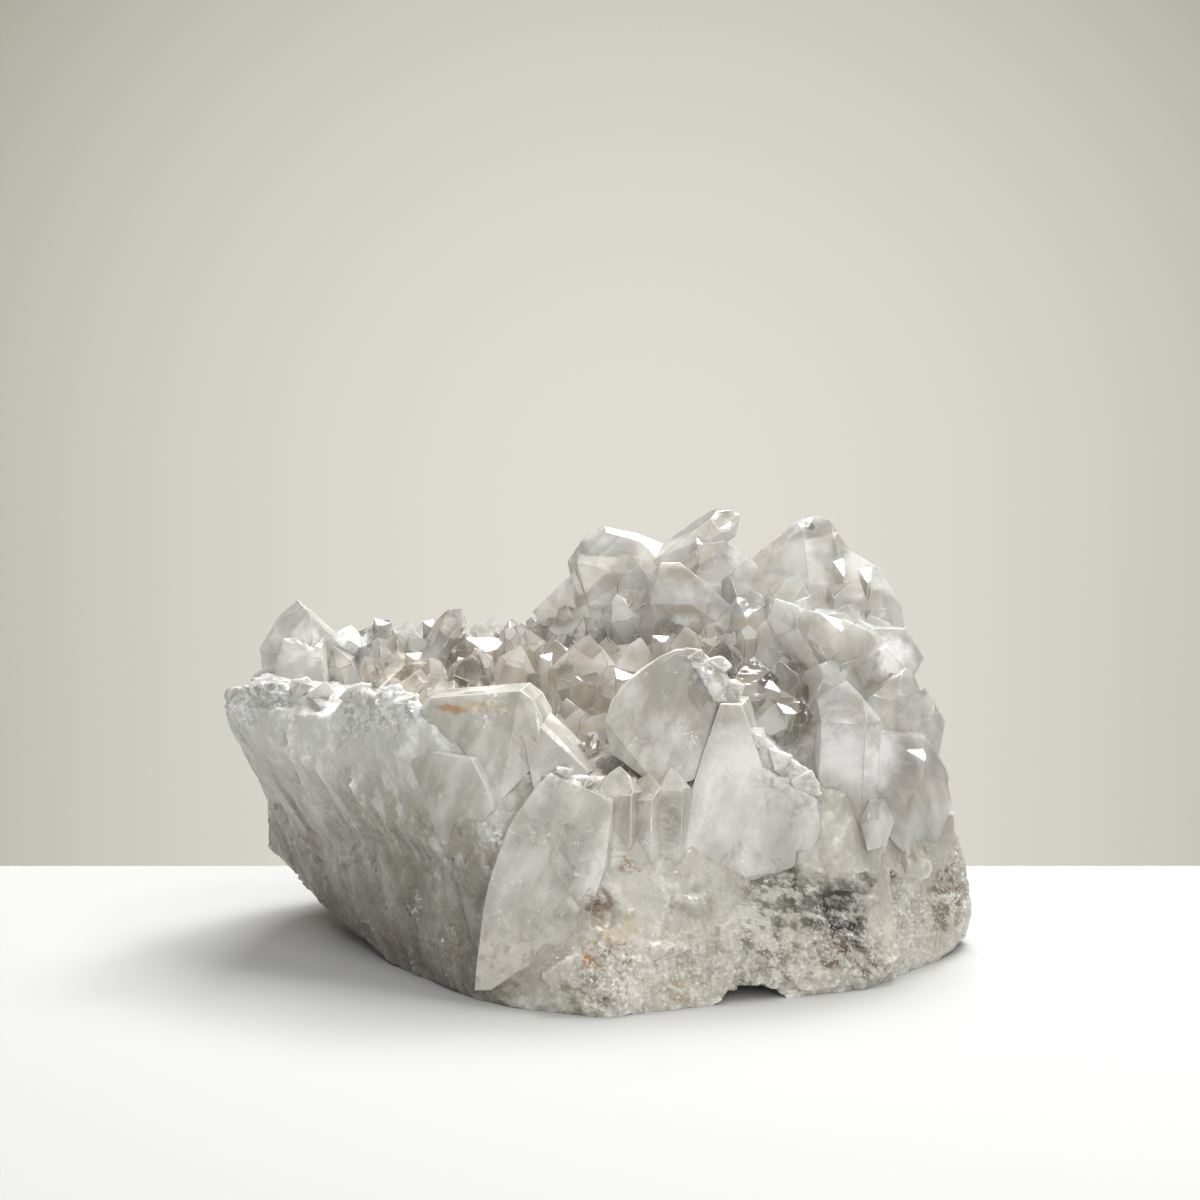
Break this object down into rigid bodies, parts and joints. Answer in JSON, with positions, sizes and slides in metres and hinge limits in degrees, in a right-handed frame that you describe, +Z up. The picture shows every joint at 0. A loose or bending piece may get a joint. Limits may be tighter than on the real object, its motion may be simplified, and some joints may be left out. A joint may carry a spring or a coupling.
{
  "type": "quartz cluster",
  "caption": "Loose cluster of milky and clear quartz crystals on a broken block of massive quartz, with a crystal-lined hollow behind its front rim.",
  "frame": {"origin": "on the surface that the specimen stands on, under the middle of its bounding box", "axes": "+X along the specimen's length towards its high ridge end, +Y to the back, +Z up"},
  "size_m": [0.1792, 0.1152, 0.1011],
  "materials": {
    "milky_quartz": "gloss",
    "clear_quartz": "clear gloss"
  },
  "bodies": {
    "root": {"quartz_cluster": "milky_quartz", "pocket_crystals": "clear_quartz"}
  },
  "joints": []
}
